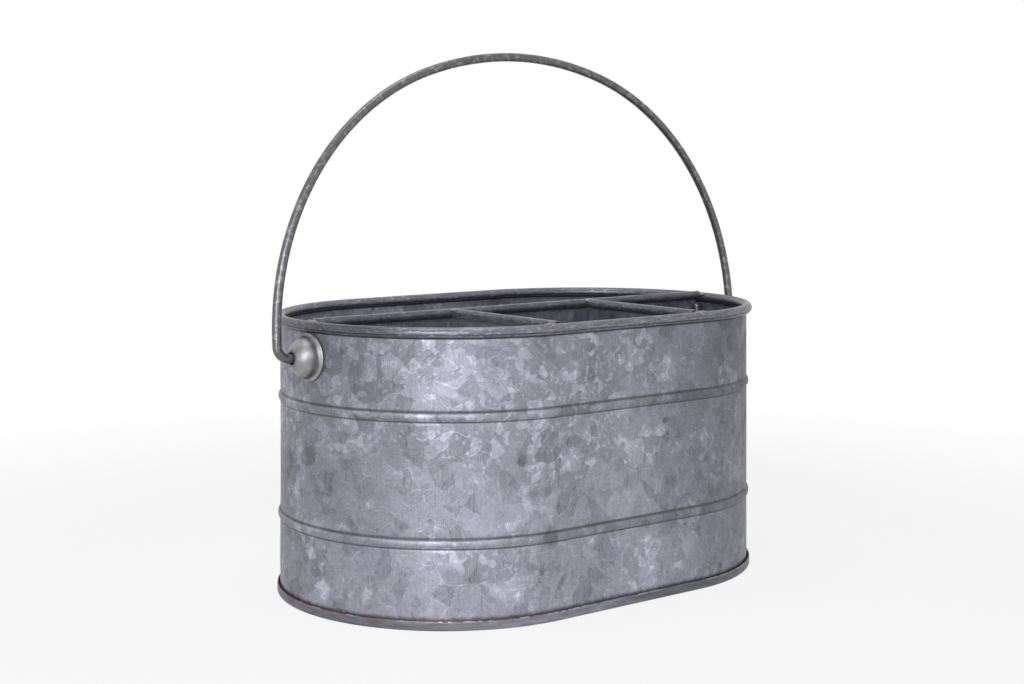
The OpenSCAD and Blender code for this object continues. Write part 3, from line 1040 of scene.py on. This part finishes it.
# %% The dividers' finish
def galvanised(name, tone, busy):
    """Spangled sheet zinc of a tone. The finish is returned with its lightness for more work."""
    finish = Finish(name)
    light = zinc_lightness(finish, busy)
    finish.shade(Roughness=0.46 - (light - 1) * 0.14, Metallic=metal_share)
    return finish, light * tone


divider_finish, divider_light = galvanised("galvanised_divider_sheet", tone=0.2, busy=0.3)
on_hem = divider_finish.ease(divider_finish.z, panel_top + 0.9 * mm, panel_top + 1.7 * mm)
hem_blotches = divider_finish.noise(2.4 * mm, 4.0, stretch=(3, 3, 0.6))
flake_noise = divider_finish.noise(1.1 * mm, 3.0, stretch=(3, 3, 0.6))
hem_flakes = divider_finish.ease(flake_noise, 0.54, 0.66) * 0.09
# A painted highlight along the top of each rolled edge.
hem_crown_highlight = divider_finish.ease(divider_finish.z, long_high.z - 0.5 * mm, long_high.z - 0.05 * mm)
hem_light = 0.01 + 0.2 * hem_blotches + hem_flakes + hem_crown_highlight * (0.05 + 0.12 * hem_blotches)
divider_grey = divider_light * (1 - on_hem) + hem_light * on_hem
divider_finish.shade(Base_Color=divider_finish.grey(divider_grey, zinc_tint))
divider_finish.bump(divider_grey, 0.2 * mm)
wear(divider_finish, long_divider, cross_right, cross_left)

# %% [markdown]
# ## The base, with rust at its cut edge
# The base has the same zinc. Its lip's top is a cut edge with no zinc on it, so rust starts there
# and runs along it in places, mostly at the front left. Evenly spread rust would look wrong, so
# the mask is a noise that is raised near the cut edge and at that side.

# %% The base's finish
rust_dark = (0.1, 0.04, 0.02, 1)
rust_light = (0.24, 0.11, 0.055, 1)
base_finish, base_light = galvanised("galvanised_base_sheet", tone=0.24, busy=0.2)
lip_blotches = base_finish.noise(2.2 * mm, 4.0, stretch=(4, 4, 0.6))
on_lip = base_finish.ease(base_finish.out_from_wall(), 0.3 * mm, 0.8 * mm)
rust_side = 1 - base_finish.ease(base_finish.x + base_finish.y * 0.4, -110 * mm, -70 * mm)
rust_noise = base_finish.noise(3.5 * mm, 5.0) + rust_side * 0.14 - 0.05
rust_edge = base_finish.ease(base_finish.z, lip_top - 0.9 * mm, lip_top - 0.3 * mm)
rust_mask = base_finish.ease(rust_noise * (0.5 + 0.5 * rust_edge), 0.5, 0.58)
# The lip's top edge is lighter in places: partly rubbed metal, partly a painted highlight.
rubbed_edge_and_highlight = rust_edge * base_finish.ease(base_finish.noise(12 * mm, 2.0), 0.4, 0.55) * 0.14
# The lip is darkened away from its front, towards both ends, with painted shade.
lip_end = base_finish.ease(abs(base_finish.x + 50 * mm), 20 * mm, 75 * mm)
lip_light = (0.06 + 0.36 * lip_blotches) * (1 - lip_end * 0.42) + rubbed_edge_and_highlight
base_grey = base_light * (1 - on_lip) + lip_light * on_lip
base_zinc = base_finish.grey(base_grey, zinc_tint)
rust = base_finish.mix(base_finish.noise(1.4 * mm, 3.0), rust_dark, rust_light)
base_finish.shade(Base_Color=base_finish.mix(rust_mask, base_zinc, rust))
base_finish.bump(base_grey + rust_noise * 0.1, 0.25 * mm)
wear(base_finish, pan)

# %% [markdown]
# ## Ears, wire and solder
# The ears are plain satin zinc, lighter than the sheet, with painted shade in the groove round the
# dome and round the wire's hole. The wire is drawn and dark, with paler rubbed marks along it.
# Solder is bright where it ran smooth, and its flux left it orange and gold in places. All three
# could share one grey metal, but side by side their colour and gloss are what tells them apart.

# %% The ears' finish
ear_finish = Finish("satin_zinc")
ear_clouds = ear_finish.noise(3.5 * mm, 4.0)
ear_grain = ear_finish.noise(0.45 * mm, 3.0)
from_wire = ((ear_finish.y - hinge.y) ** 2 + (ear_finish.z - hinge.z) ** 2) ** 0.5
ear_light = 0.06 + ear_clouds * 0.28 + ear_grain * 0.14
# Painted shade round the wire's hole and in the groove round the dome.
hole_shade = 1 - ear_finish.ease(from_wire, 3.7 * mm, 5.0 * mm)
groove_shade = 1 - ear_finish.ease(abs(from_wire - dome_r + 0.1 * mm), 0.2 * mm, 1.1 * mm)
ear_light = ear_light * (1 - hole_shade * 0.45) * (1 - groove_shade * 0.55)
ear_finish.shade(Base_Color=ear_finish.grey(ear_light, (1, 0.99, 1.03)), Metallic=0.6,
                 Roughness=0.3 + ear_clouds * 0.16)
ear_finish.bump(ear_grain * 0.5 + ear_clouds, 0.12 * mm)
wear(ear_finish, ear, ear_twin)

# %% The wire's finish
wire_finish = Finish("drawn_wire")
wire_marks = wire_finish.noise(1.1 * mm, 4.0)
wire_clouds = wire_finish.noise(7 * mm, 3.0)
rubbed = wire_finish.ease(wire_finish.noise(3 * mm, 4.0), 0.5, 0.66)
wire_light = 0.045 + wire_marks * 0.11 + wire_clouds * 0.06 + rubbed * 0.11
wire_finish.shade(Base_Color=wire_finish.grey(wire_light, (1, 0.98, 1.04)), Metallic=0.7,
                  Roughness=0.27 + wire_marks * 0.16)
wire_finish.bump(wire_marks, 0.08 * mm)
wear(wire_finish, bail, frame["nodes"]["rim_wire"])

# %% The solder's finish
solder_finish = Finish("solder")
solder_clouds = solder_finish.noise(1.3 * mm, 3.0)
flux = solder_finish.ease(solder_finish.noise(2 * mm, 3.0), 0.48, 0.6)
flux_brown = (0.1, 0.045, 0.02, 1)
flux_gold = (0.36, 0.2, 0.09, 1)
flux_colour = solder_finish.mix(solder_clouds, flux_brown, flux_gold)
solder_grey = solder_finish.grey(0.1 + solder_clouds * 0.35, (1, 0.97, 0.94))
solder_finish.shade(Base_Color=solder_finish.mix(flux * 0.75, solder_grey, flux_colour),
                    Metallic=0.5, Roughness=0.35 + solder_clouds * 0.2)
solder_finish.bump(solder_clouds, 0.3 * mm)
wear(solder_finish, *lumps)

# %% [markdown]
# ## The camera
# The photograph was taken level, a little above the rim's height, with the lens shifted down. The
# camera repeats that: it looks level, and its shift brings the caddy into the frame. Tilted down
# instead, it would make the upright lines of the caddy lean together.

# %% Camera
camera_place = (-0.5956, -0.7384, 0.2320)
camera_turn = math.radians(38.60)
focal_pixels = 1721
horizon_row = 149
image_size = (1024, 684)
sensor_width = 36
camera_data = bpy.data.cameras.new("camera")
camera_data.sensor_width = sensor_width
camera_data.lens = focal_pixels * sensor_width / image_size[0]
camera_data.shift_y = (horizon_row - image_size[1] / 2) / image_size[0]
camera_data.clip_end = 50
camera = bpy.data.objects.new("camera", camera_data)
camera.location = camera_place
camera.rotation_euler = (math.pi / 2, 0, -camera_turn)
bpy.context.scene.collection.objects.link(camera)
bpy.context.scene.camera = camera
print("camera: lens", round(camera_data.lens, 1), "mm, shift", round(camera_data.shift_y, 3))

# %% [markdown]
# ## World, floor and lamps
# The background is white. More light would make it so, but it would bleach the zinc as well. So
# the world and the floor turn white only for camera, glossy and transmission rays. The floor stays
# a little darker near the caddy, and partly matt, so that the caddy's shadow shows on it. The wall
# is lightest to the left of its middle: one large soft lamp stands behind the camera and to its
# left, and a weaker one hangs above, for the rim and the inside.

# %% World
white = (1, 1, 1, 1)
ambient_strength = 0.2


def seen_directly(nodes):
    """1 for camera, glossy and transmission rays, and 0 for the others."""
    camera_ray, glossy_ray, through_ray = (
        nodes.node("ShaderNodeLightPath", {}, {}, name)
        for name in ("Is Camera Ray", "Is Glossy Ray", "Is Transmission Ray"))
    return camera_ray.at_least(glossy_ray).at_least(through_ray)


scene = bpy.context.scene
scene.view_settings.view_transform = "Standard"
world = bpy.data.worlds.new("studio")
scene.world = world
world.use_nodes = True
sky = Nodes(world.node_tree)
ambient = sky.node("ShaderNodeBackground", {}, {"Color": white, "Strength": ambient_strength})
backdrop = sky.node("ShaderNodeBackground", {}, {"Color": white, "Strength": 1.0})
either = sky.node("ShaderNodeMixShader", {}, [seen_directly(sky), ambient, backdrop])
sky.node("ShaderNodeOutputWorld", {}, {"Surface": either})
print("world:", len(sky.tree.nodes), "nodes")

# %% Floor
floor_width = 30
floor_near = 0.25
floor_far = 0.7
near_white = 0.84
bpy.ops.object.select_all(action="DESELECT")
bpy.ops.mesh.primitive_plane_add(size=floor_width, location=(0, 0, 0))
floor = bpy.context.object
floor.name = "floor"
floor_material = bpy.data.materials.new("pale_floor")
floor_material.use_nodes = True
ground = Nodes(floor_material.node_tree)
ground_place = ground.node("ShaderNodeTexCoord", {}, {}, "Object")
away = ground.node("ShaderNodeVectorMath", {"operation": "LENGTH"}, [ground_place], "Value")
whiten = near_white + (1 - near_white) * ground.ease(away, floor_near, floor_far)
matt = ground.node("ShaderNodeBsdfDiffuse", {}, {"Color": (0.8, 0.8, 0.8, 1)})
glow = ground.node("ShaderNodeEmission", {}, {"Color": white, "Strength": 1.0})
both = ground.node("ShaderNodeMixShader", {}, [whiten * seen_directly(ground), matt, glow])
ground.node("ShaderNodeOutputMaterial", {}, {"Surface": both})
floor.data.materials.append(floor_material)
print("floor:", len(ground.tree.nodes), "nodes")

# %% Lamps
lamp_aim = Vector((0, 0, 0.1))


def soft_lamp(name, place, width, watts):
    """A square lamp that faces the middle of the caddy."""
    lamp_data = bpy.data.lights.new(name, "AREA")
    lamp_data.shape = "SQUARE"
    lamp_data.size = width
    lamp_data.energy = watts
    lamp = bpy.data.objects.new(name, lamp_data)
    lamp.location = place
    lamp.rotation_euler = (lamp_aim - Vector(place)).to_track_quat("-Z", "Y").to_euler()
    bpy.context.scene.collection.objects.link(lamp)
    print(name, "lamp:", watts, "W")


soft_lamp("key", (-1.0, -0.85, 0.46), 0.8, 12.5)
soft_lamp("top", (-0.1, 0.1, 1.5), 0.9, 6)
